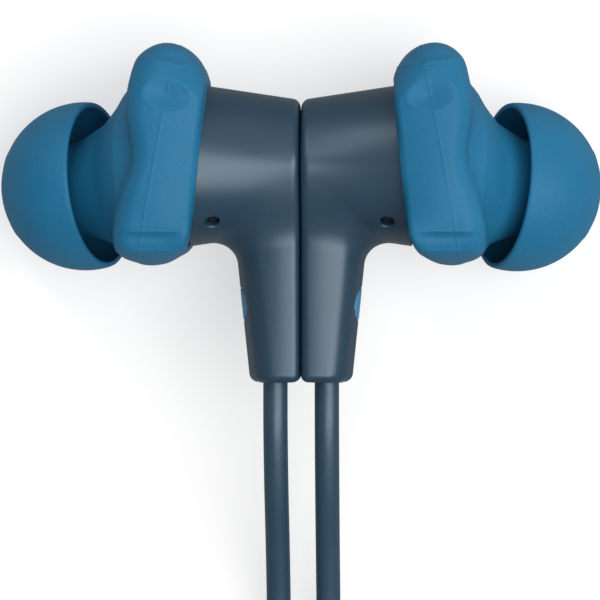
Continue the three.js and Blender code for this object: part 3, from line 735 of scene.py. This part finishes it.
housing = field_mesh(bud_shell, (0.0, 8.4, 0.15), (-6.4, 16.6, 0.15), (3.4, 15.8, 0.15))
plate = field_mesh(inner_plate, (0, 1.2, 0.13), (-4.8, 14.6, 0.2), (5.2, 14.0, 0.2))
dot = field_mesh(marker_dot, (3.3, 4.6, 0.08), (-1.6, 1.0, 0.08), (8.3, 10.9, 0.08))
sleeve = field_mesh(
    fin_sleeve,
    (-0.4, 11.2, 0.15, [(-0.4, 0.4, 0.08), (2.3, 3.8, 0.08)]),
    (-8.4, 9.3, 0.16, [(-7.2, -5.2, 0.08), (3.6, 5.8, 0.10), (6.9, 7.5, 0.07)]),
    (-9.0, 7.6, 0.16),
    JOINT,
)
tip_points, tip_faces = lathe(tip_profile(), NOZZLE, 112, closed=True)
for side in SIDES:
    for name, mesh, slot, node in (
        ("housing", housing, "slate_plastic", "bud_shell"),
        ("inner_plate", plate, "slate_plastic", "back_plate"),
        ("marker_dot", dot, "marker_blue", "side_marker"),
        ("soft_sleeve", sleeve, "blue_silicone", "fin_sleeve"),
    ):
        stand_in(f"{name}_{side}", mesh, slot, side, f"bud_{side}", f"{node}_{side}")
    seated = (tip_points + TIP_SEAT[side], tip_faces)
    stand_in(f"soft_tip_{side}", seated, "blue_silicone", side, f"tip_{side}", f"ear_tip_{side}")

# ---- Small pieces of a bud ----

NOZZLE_OUTSIDE = [
    (-4.0, 5.2), (0.5, 5.2), (2.0, 4.9), (3.4, 4.3), (5.2, 3.4), (6.5, 2.9), (7.5, 2.45), (10.8, 2.45),
    (11.1, 2.8), (11.4, 2.75), (12.2, 2.45), (13.0, 2.4),
]
NOZZLE_INSIDE = [
    (-4.0, 4.35), (1.4, 4.2), (3.0, 3.6), (4.8, 2.7), (6.2, 2.2), (7.3, 1.75), (13.0, 1.75),
]
NOZZLE_END = 12.2
MESH_RADIUS, MESH_HOLED_RADIUS = 1.6, 1.35
MESH_HEIGHT, MESH_HALF_THICKNESS = 11.6, 0.1
MESH_PITCH, MESH_HOLE_RADIUS = 0.36, 0.11
ROW_PITCH = 0.866  # of the pitch within a row, so that the holes stand in triangles


def nozzle_shell(points):
    """The front housing: a funnel with a thin wall and a rim that holds the tip."""
    q = local(points, NOZZLE)
    shell = without(turned_distance(q, NOZZLE_OUTSIDE), turned_distance(q, NOZZLE_INSIDE))
    shell = common(shell, q[:, 2] - NOZZLE_END, 0.15)
    return np.maximum(shell, 0.15 - local(points, JOINT)[:, 0])


def nozzle_mesh(points):
    """A thin round plate with rows of holes, every second row offset."""
    x, y, z = local(points, NOZZLE).T
    radius = np.hypot(x, y)
    disc = common(radius - MESH_RADIUS, np.abs(z - MESH_HEIGHT) - MESH_HALF_THICKNESS, 0.05)
    row = np.round(y / (MESH_PITCH * ROW_PITCH))
    offset = np.where(row % 2 == 0, 0.0, MESH_PITCH / 2)
    column = np.round((x - offset) / MESH_PITCH)
    from_hole = np.hypot(x - offset - column * MESH_PITCH, y - row * MESH_PITCH * ROW_PITCH)
    return without(disc, np.maximum(from_hole - MESH_HOLE_RADIUS, radius - MESH_HOLED_RADIUS))


across = (-5.5, 5.5, 0.3)
shell_mesh = field_mesh(nozzle_shell, across, across, (-2.2, 12.5, 0.3, [(10.2, 12.4, 0.12)]), NOZZLE)
across = (-1.68, 1.68, 0.056)
screen = field_mesh(nozzle_mesh, across, across, (11.42, 11.78, 0.06), NOZZLE)
GROMMET = axis_frame([CORD_X, STEM_END, AXIS_Z], Y_WAY)
grommet_corners = [
    (0.97, 0), (1.2, 0), (1.2, 0.5), (1.1, 0.6), (1.1, 1.5), (0.5, 1.5), (0.5, 1.1), (0.97, 1.1),
]
bush = lathe(rounded(grommet_corners, 0.06, closed=True), GROMMET, 40, closed=True)
vent_profile = [
    (0, -0.66), (0.36, -0.66), (0.4, -0.62), (0.4, -0.52), (0.36, -0.47), (0.22, -0.5), (0, -0.5),
]
screen_disc = lathe(vent_profile, VENT, 32)
for side in SIDES:
    for name, mesh, slot, node in (
        ("nozzle", shell_mesh, "slate_plastic", "nozzle_shell"),
        ("wax_screen", screen, "screen_mesh", "nozzle_mesh"),
        ("cord_bush", bush, "slate_silicone", "cord_grommet"),
        ("vent_screen", screen_disc, "screen_mesh", "vent_mesh"),
    ):
        stand_in(f"{name}_{side}", mesh, slot, side, f"bud_{side}", f"{node}_{side}")

# ---- Arms of the collar ----

ARM = np.array([57.0, -64.0, 0.0])
ARM_HALF, ARM_RADIUS, ARM_MIDDLE, ARM_EDGE = 25.8, 6.2, 4.5, 2.6
ARM_WALL = 1.2
SPLIT_Z, SEAM_GAP = 4.4, 0.05
BAND_HOLE_RADIUS, BAND_HOLE_Y = 3.15, -28
GLAND_HOLE_RADIUS, GLAND_HOLE_Y = 1.9, 29
SCREW_PLACES = (25.5, -25.5)
POST_RADIUS, SCREW_HOLE_RADIUS, HEAD_HOLE_RADIUS, HEAD_HOLE_TOP = 2.4, 1.0, 1.8, 1.55
UPPER_POST, LOWER_POST = (SPLIT_Z, 8.1, 7.4), (0.6, 5.0, 6.0)  # foot, top, and top of the screw's hole
KEY_PLACES = {"volume_up": 6.0, "play": -4.0, "volume_down": -14.0, "power": 16.5}
ROUND_KEYS = ("play", "power")
ROUND_KEY_RADIUS, LONG_KEY_HALF, LONG_KEY_RADIUS = 3.1, 2.3, 2.2
KEY_TOP, KEY_FLANGE_TOP, KEY_FLANGE, KEY_FOOT = 9.55, 7.4, 6.9, 6.2
KEY_GAP, KEY_DISH, SIGN_HEIGHT = 0.2, 0.25, 0.13
SIGN_HALF, SIGN_LINE = 1.1, 0.22
WELL_FLOOR, WELL_RADIUS = 8.75, 4.3  # the shallow wells around the keys
MICROPHONE_Y, LAMP_Y, SMALL_HOLE_RADIUS = 19.5, 10.8, 0.75
SOCKET_Y, PORT_HALF, PORT_RADIUS = 6.0, 2.9, 1.55
COVER_RECESS = ((-9, 0, 1.8), (-5.45, 12, 7.0))


def stadium(q, y, half, radius):
    """Distance in plan to a slot along Y with round ends."""
    return np.hypot(q[:, 0], np.maximum(np.abs(q[:, 1] - y) - half, 0)) - radius


def post(q, y, radius, low, high, edge=0.0):
    """An upright cylinder on the arm's centre line."""
    return common(stadium(q, y, 0, radius), layer(q[:, 2], low, high), edge)


def key_outline(q, name, grow=0.0):
    half, radius = (0.0, ROUND_KEY_RADIUS) if name in ROUND_KEYS else (LONG_KEY_HALF, LONG_KEY_RADIUS)
    return stadium(q, KEY_PLACES[name], half, radius + grow)


def port(q, grow):
    """The outline of the charging socket, which looks along X."""
    past_half = np.maximum(np.abs(q[:, 1] - SOCKET_Y) - PORT_HALF, 0)
    return np.hypot(q[:, 2] - SPLIT_Z, past_half) - PORT_RADIUS - grow


def arm_shell(points, is_upper, side):
    """The upper or lower shell of an arm, with its screw posts and its openings."""
    q = points - ARM
    x, y, z = q.T
    outer = common(stadium(q, 0, ARM_HALF, ARM_RADIUS), np.abs(z - ARM_MIDDLE) - ARM_MIDDLE, ARM_EDGE)
    hollow_depth = np.abs(z - ARM_MIDDLE) - ARM_MIDDLE + ARM_WALL
    shell = without(outer, common(stadium(q, 0, ARM_HALF, ARM_RADIUS - ARM_WALL), hollow_depth, 1.0))
    low, high, hole_top = UPPER_POST if is_upper else LOWER_POST
    for spot in SCREW_PLACES:
        shell = union(shell, post(q, spot, POST_RADIUS, low, high))
        shell = without(shell, post(q, spot, SCREW_HOLE_RADIUS, -1.0, hole_top))
        if not is_upper:
            shell = without(shell, post(q, spot, HEAD_HOLE_RADIUS, -1.0, HEAD_HOLE_TOP), 0.2)
    end_radius = np.hypot(x, z - SPLIT_Z)
    shell = without(shell, np.maximum(end_radius - BAND_HOLE_RADIUS, y - BAND_HOLE_Y), 0.3)
    shell = without(shell, np.maximum(end_radius - GLAND_HOLE_RADIUS, GLAND_HOLE_Y - y), 0.2)
    if is_upper:
        if side == "right":
            names, hole_y = ("volume_up", "play", "volume_down"), MICROPHONE_Y
            well = stadium(q, KEY_PLACES["play"], 14.2, WELL_RADIUS)
        else:
            names, hole_y = ("power",), LAMP_Y
            well = stadium(q, KEY_PLACES["power"], 0, WELL_RADIUS)
        shell = without(shell, np.maximum(well, WELL_FLOOR - z), 0.22)
        for name in names:
            shell = without(shell, np.maximum(key_outline(q, name, KEY_GAP), 6.0 - z), 0.15)
        shell = without(shell, post(q, hole_y, SMALL_HOLE_RADIUS, 6.0, 12.0), 0.12)
    if side == "left":
        shell = without(shell, block(q, *COVER_RECESS, 0.25), 0.15)
        shell = without(shell, np.maximum(port(q, 0.15), x - 0.9))
    gap = SPLIT_Z + SEAM_GAP - z if is_upper else z - SPLIT_Z + SEAM_GAP
    return common(shell, gap, 0.14)


def icon(q, name):
    """Distance in plan to the raised sign on a key: plus, minus, triangle, or broken ring with a bar."""
    x, y = q[:, 0], q[:, 1] - KEY_PLACES[name]
    bar = np.maximum(np.abs(x) - SIGN_HALF, np.abs(y) - SIGN_LINE)
    if name == "volume_down":
        return bar
    if name == "volume_up":
        return np.minimum(bar, np.maximum(np.abs(y) - SIGN_HALF, np.abs(x) - SIGN_LINE))
    if name == "play":
        return np.maximum(-y - 0.75, np.abs(x) * 0.866 + y * 0.5 - 0.55)
    ring = np.abs(np.hypot(x, y) - 1.2) - 0.2
    ring = np.maximum(ring, 0.45 - np.hypot(x, np.minimum(y - 1.2, 0)))
    return np.minimum(ring, np.maximum(np.abs(x) - 0.2, np.abs(y - 1.05) - 0.65))


def key_cap(points, name):
    """A cap with a hollowed top and a raised sign, its flange and its foot."""
    q = points - ARM
    z = q[:, 2]
    side = key_outline(q, name)
    top = KEY_TOP - KEY_DISH * smooth_step((-side - 0.3) / 1.6)
    cap = common(side, layer(z, KEY_FLANGE, top), 0.35)
    sign = common(icon(q, name), np.maximum(z - top - SIGN_HEIGHT, 8.5 - z), 0.06)
    flange = common(side - 0.5, layer(z, KEY_FLANGE, KEY_FLANGE_TOP), 0.05)
    foot = post(q, KEY_PLACES[name], 1.0, KEY_FOOT, 7.1, 0.1)
    return union(union(union(cap, sign, 0.05), flange, 0.1), foot, 0.2)


HEAD_RADIUS, HEAD_LOW, HEAD_HIGH = 1.5, 0.3, 1.25
RECESS_RADIUS, RECESS_LOBE, RECESS_TOP = 0.62, 0.13, 0.85
SHANK_RADIUS, SHANK_TOP, THREAD_DEPTH, THREAD_PITCH = 0.66, 6.2, 0.09, 0.55


def screw(points, spot):
    """A pan head with a six-lobed recess, and a threaded shank. Its head is the lower end."""
    q = points - ARM
    x, y, z = q[:, 0], q[:, 1] - spot, q[:, 2]
    radius, angle = np.hypot(x, y), np.arctan2(y, x)
    head = common(radius - HEAD_RADIUS, layer(z, HEAD_LOW, HEAD_HIGH), 0.18)
    recess = np.maximum(radius - RECESS_RADIUS - RECESS_LOBE * np.cos(6 * angle), z - RECESS_TOP)
    thread = THREAD_DEPTH * np.cos(2 * math.pi * z / THREAD_PITCH - angle)
    shank_side = radius - SHANK_RADIUS - thread * np.clip((z - 1.6) * 2, 0, 1)
    shank = common(shank_side, layer(z, 1.0, SHANK_TOP), 0.25)
    return without(union(head, shank, 0.12), recess, 0.06)


def arm_mesh(field, xs, ys, zs, middle_y=0.0):
    """field_mesh, with the grid given from the arm's middle."""
    return field_mesh(field, xs, ys, zs, offset=ARM + (0, middle_y, 0))


FINE_TOP = {"right": [(-23, 15, 0.18), (18.4, 20.6, 0.14)], "left": [(-0.4, 21.2, 0.18)]}
FINE_LOW = {"right": [], "left": [(-0.4, 12.4, 0.2)]}
for side in SIDES:
    body = f"arm_{side}"
    for name, node, is_upper, finer, zs in (
        ("arm_top", "arm_upper", True, FINE_TOP, (4.2, 9.3, 0.2)),
        ("arm_base", "arm_lower", False, FINE_LOW, (-0.3, 4.6, 0.22)),
    ):
        ys = (-32.3, 32.3, 0.34, finer[side])
        mesh = arm_mesh(lambda p: arm_shell(p, is_upper, side), (-6.5, 6.5, 0.22), ys, zs)
        stand_in(f"{name}_{side}", mesh, "slate_plastic", side, body, f"{node}_{side}")
    for spot, place in zip(SCREW_PLACES, ("front", "rear")):
        across = (-1.7, 1.7, 0.1)
        mesh = arm_mesh(lambda p: screw(p, spot), across, across, (0.1, 6.5, 0.1), spot)
        stand_in(f"{place}_screw_body_{side}", mesh, "steel", side, body, f"{place}_screw_{side}")
for name, y in KEY_PLACES.items():
    side = "left" if name == "power" else "right"
    reach = 3.8 if name in ROUND_KEYS else 5.2
    mesh = arm_mesh(
        lambda p: key_cap(p, name), (-3.8, 3.8, 0.12), (-reach, reach, 0.12),
        (6.0, 9.9, 0.12, [(8.9, 9.8, 0.08)]), y,
    )
    stand_in(f"{name}_cap", mesh, "slate_silicone", side, name, f"{name}_key")

# ---- Small pieces of the arms ----

GLAND = axis_frame([ARM[0], ARM[1] + 32.0, SPLIT_Z], Y_WAY)
GLAND_RIBS = (2.2, 3.0, 3.8, 4.6)
gland_profile = [(0.5, -3.6), (2.3, -3.6), (2.3, -2.6), (1.6, -2.6), (1.6, 0.35), (2.3, 0.35), (2.3, 1.2)]
for rib in GLAND_RIBS:
    full = 2.15 - 0.16 * (rib - 1.2)
    deep = full - 0.3
    gland_profile += [(full, rib - 0.35), (deep, rib - 0.2), (deep, rib + 0.15), (full - 0.1, rib + 0.3)]
gland_profile += [(1.5, 5.2), (1.38, 6.0), (0.96, 6.0), (0.96, 2.9), (0.5, 2.9)]
lamp_profile = [(0, 6.25), (0.55, 6.25), (0.55, 8.7), (0.47, 8.86), (0.25, 8.94), (0, 8.95)]


def microphone_mesh(points):
    """A small disc with one hole in the middle and six around it."""
    q = points - ARM
    x, y, z = q[:, 0], q[:, 1] - MICROPHONE_Y, q[:, 2]
    ring_radius, hole_radius = 0.3, 0.09
    disc = common(np.hypot(x, y) - 0.55, np.abs(z - 8.25) - 0.15, 0.04)
    angle = np.round(np.arctan2(y, x) / (math.pi / 3)) * math.pi / 3
    holes = np.hypot(x - ring_radius * np.cos(angle), y - ring_radius * np.sin(angle)) - hole_radius
    return without(disc, np.minimum(holes, np.hypot(x, y) - hole_radius))


def charging_socket(points):
    """A rounded steel mouth with a tongue that carries the contacts."""
    q = points - ARM
    x, y, z = q.T
    front, rear = -5.4, 0.9
    shell = common(port(q, 0.0), layer(x, front, rear), 0.12)
    shell = without(shell, np.maximum(port(q, -0.35), x - rear + 0.8))
    tongue_low = (front + 0.8, SOCKET_Y - 3.3, SPLIT_Z - 0.3)
    tongue_high = (rear - 0.2, SOCKET_Y + 3.3, SPLIT_Z + 0.3)
    tongue = block(q, tongue_low, tongue_high, 0.12)
    pitch = 0.6
    along = (y - SOCKET_Y) - np.round((y - SOCKET_Y) / pitch) * pitch
    contacts = np.maximum(np.abs(along) - 0.15, np.abs(y - SOCKET_Y) - 2.8)
    contact_ends = np.maximum(front + 1.3 - x, x - rear + 0.9)
    contacts = np.maximum(contacts, np.maximum(np.abs(z - SPLIT_Z) - 0.36, contact_ends))
    return union(shell, np.minimum(tongue, contacts))


def socket_cover(points):
    """A flap that is rounded around its pivot, with two grip ridges near its free end."""
    q = points - ARM
    pivot_x, pivot_y = -6.2, 11.25
    x, y, z = q[:, 0] - pivot_x, q[:, 1], q[:, 2] - SPLIT_Z
    plan = np.hypot(x, np.maximum(y - pivot_y, 0)) - 0.45
    flap = common(np.maximum(plan, 0.3 - y), np.abs(z) - 2.3, 0.3)
    ridges = np.abs(np.abs(y - 1.9) - 0.5) - 0.18
    ridges = common(np.maximum(ridges, np.abs(x + 0.35) - 0.25), np.abs(z) - 1.5, 0.1)
    return union(flap, ridges, 0.12)


relief = lathe(rounded(gland_profile, 0.12, closed=True), GLAND, 48, closed=True)
for side in SIDES:
    stand_in(f"strain_relief_{side}", relief, "slate_silicone", side, f"arm_{side}", f"cord_gland_{side}")
lamp_frame = (ARM + (0, LAMP_Y, 0), X_WAY, Y_WAY, Z_WAY)
lamp = lathe(lamp_profile, lamp_frame, 32)
stand_in("lamp_window", lamp, "clear_plastic", "left", "arm_left", "light_pipe")
across = (-0.7, 0.7, 0.05)
mesh = arm_mesh(microphone_mesh, across, across, (8.0, 8.5, 0.05), MICROPHONE_Y)
stand_in("microphone_screen", mesh, "screen_mesh", "right", "arm_right", "microphone_mesh")
mesh = arm_mesh(charging_socket, (-5.6, 1.1, 0.14), (1.2, 10.8, 0.1), (2.6, 6.2, 0.09))
stand_in("socket_mouth", mesh, "steel", "left", "arm_left", "charging_socket")
mesh = arm_mesh(socket_cover, (-7.1, -5.5, 0.1), (0.1, 11.9, 0.14), (1.9, 6.9, 0.14))
stand_in("socket_flap", mesh, "slate_silicone", "left", "cover", "socket_cover")

# ---- Bands ----

COLLAR_START_Y, COLLAR_REACH = -93.0, 95.0
BAND_RADIUS, BAND_BORE, WIRE_RADIUS = 2.8, 0.8, 0.5
BAND_GROOVES = (5.4, 7.2, 9.0, 10.8, 12.6)  # distances from the band's start
NAPE_RADIUS, NAPE_BORE, NAPE_HALF_ANGLE, NAPE_EDGE = 4.4, 3.1, 0.3, 1.1
NAPE_GROOVE_PITCH = 2.2
BEND_FROM, BEND_TO = math.radians(63), math.radians(14)  # angles at the ends of the stretch of band that would take up the spread of an arm


def collar_point(angle):
    """Points on the collar's half ellipse: 0 is the right arm, a quarter turn the nape."""
    x, y = ARM[0] * np.cos(angle), COLLAR_START_Y - COLLAR_REACH * np.sin(angle)
    return np.stack([x, y, np.full_like(angle, SPLIT_Z)], -1)


def collar_path(start, end, spacings):
    """Collar points and their distances from the start. spacings holds (distance, spacing) pairs."""
    fine = np.linspace(start, end, 4000)
    line = collar_point(fine)
    run = np.concatenate([[0], np.cumsum(np.linalg.norm(np.diff(line, axis=0), axis=1))])
    at, stops = 0.0, []
    while at < run[-1]:
        stops.append(at)
        at += [gap for reach, gap in spacings if at >= reach][-1]
    stops.append(run[-1])
    return collar_point(np.interp(stops, run, fine)), np.array(stops)


def dips(run, places, depth, width):
    """Depths of soft grooves at the given distances along a path."""
    return depth * np.exp(-(((run[:, None] - np.array(places)) / width) ** 2)).sum(1)


middle_gap = 0.15 / ARM[0]
band_line, band_run = collar_path(0.0, math.pi / 2 - middle_gap, [(0, 0.2), (16, 0.9)])
grooves = dips(band_run, BAND_GROOVES, 0.4, 0.38)
end_round = 0.3 * np.exp(-band_run / 0.25)
band_mesh = tube(band_line, BAND_RADIUS - grooves - end_round, 32, BAND_BORE)
wire_line, wire_run = collar_path(0.02, math.pi / 2 - 0.02, [(0, 0.9)])
wire_round = 0.2 * (np.exp(-wire_run / 0.3) + np.exp(-(wire_run[-1] - wire_run) / 0.3))
wire_mesh = tube(wire_line, WIRE_RADIUS - wire_round, 16)
for side in SIDES:
    bend = placed(collar_point(np.array([BEND_FROM, BEND_TO])), side)
    for name, mesh, slot, node in (
        ("collar_band", band_mesh, "slate_silicone", "band"),
        ("collar_wire", wire_mesh, "steel", "spring_wire"),
    ):
        piece = new_piece(f"{name}_{side}", *mesh, slot, side)
        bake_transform(piece)
        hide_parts(f"{node}_{side}")

nape = math.pi / 2
nape_line, nape_run = collar_path(nape - NAPE_HALF_ANGLE, nape + NAPE_HALF_ANGLE, [(0, 0.2)])
to_end = np.minimum(nape_run, nape_run[-1] - nape_run)
nape_round = NAPE_EDGE - np.sqrt(np.maximum(NAPE_EDGE**2 - np.maximum(NAPE_EDGE - to_end, 0) ** 2, 0))
centre = nape_run[-1] / 2
nape_grooves = dips(nape_run, [centre + NAPE_GROOVE_PITCH * k for k in range(-4, 5)], 0.35, 0.42)
nape_mesh = tube(nape_line, NAPE_RADIUS - nape_round - nape_grooves, 48, NAPE_BORE)
stand_in("nape_grip", nape_mesh, "slate_silicone", "right", "nape", "nape_sleeve")

# ---- CAD nodes that stay ----

for part in frame["record"]["subparts"]:
    thing = frame["nodes"][part["node"]]
    thing.data.materials.clear()
    thing.data.materials.append(SURFACES[part["material_slot"]])

# ---- Floor and light ----

FLOOR = 8.0  # half its side, in metres
PAPER_GREY, PAPER_GLOW, WORLD_GLOW = 0.42, 0.55, 0.28
floor_mesh = bpy.data.meshes.new("floor")
corners = [(-FLOOR, -FLOOR, 0), (FLOOR, -FLOOR, 0), (FLOOR, FLOOR, 0), (-FLOOR, FLOOR, 0)]
floor_mesh.from_pydata(corners, [], [(0, 1, 2, 3)])
paper = bpy.data.materials.new("paper")
paper.use_nodes = True
paper_sockets = paper.node_tree.nodes["Principled BSDF"].inputs
paper_sockets["Base Color"].default_value = (*[PAPER_GREY] * 3, 1)
paper_sockets["Roughness"].default_value = 0.9
paper_sockets["Specular IOR Level"].default_value = 0.1
paper_sockets["Emission Color"].default_value = (1, 1, 1, 1)
paper_sockets["Emission Strength"].default_value = PAPER_GLOW
floor_mesh.materials.append(paper)
floor = bpy.data.objects.new("floor", floor_mesh)
bpy.context.scene.collection.objects.link(floor)
floor.visible_glossy = False  # it would whiten every surface seen at a grazing angle

world = bpy.data.worlds.new("studio")
world.use_nodes = True
background = world.node_tree.nodes["Background"].inputs
background["Color"].default_value = (1, 1, 1, 1)
background["Strength"].default_value = WORLD_GLOW
bpy.context.scene.world = world
bpy.context.scene.view_settings.view_transform = "Standard"


def soft_box(name, toward, along, far, width, length, radiance, shape="RECTANGLE"):
    """A light that faces the earbuds from the direction toward. Its length lies in the direction along."""
    data = bpy.data.lights.new(name, "AREA")
    data.shape = shape
    data.size, data.size_y = width, length
    data.energy = radiance * math.pi * width * length
    light = bpy.data.objects.new(name, data)
    way = Vector(toward).normalized()
    side_way = Vector(along).cross(way).normalized()
    facing = Matrix((side_way, way.cross(side_way), way)).transposed().to_4x4()
    light.matrix_world = Matrix.Translation(target + way * far) @ facing
    light.visible_camera = False
    bpy.context.scene.collection.objects.link(light)


soft_box("key", (0.50, -0.15, 1.0), (1.0, 0.35, 0), 1.3, 1.15, 1.8, 3.15, "ELLIPSE")
soft_box("upper", (0.0, 1.0, 0.75), (1.0, 0, 0), 1.5, 1.2, 3.0, 0.35)
soft_box("rear", (-0.20, 0.51, 0.70), (-0.40, 0.49, -0.61), 1.2, 0.14, 1.05, 5.5)
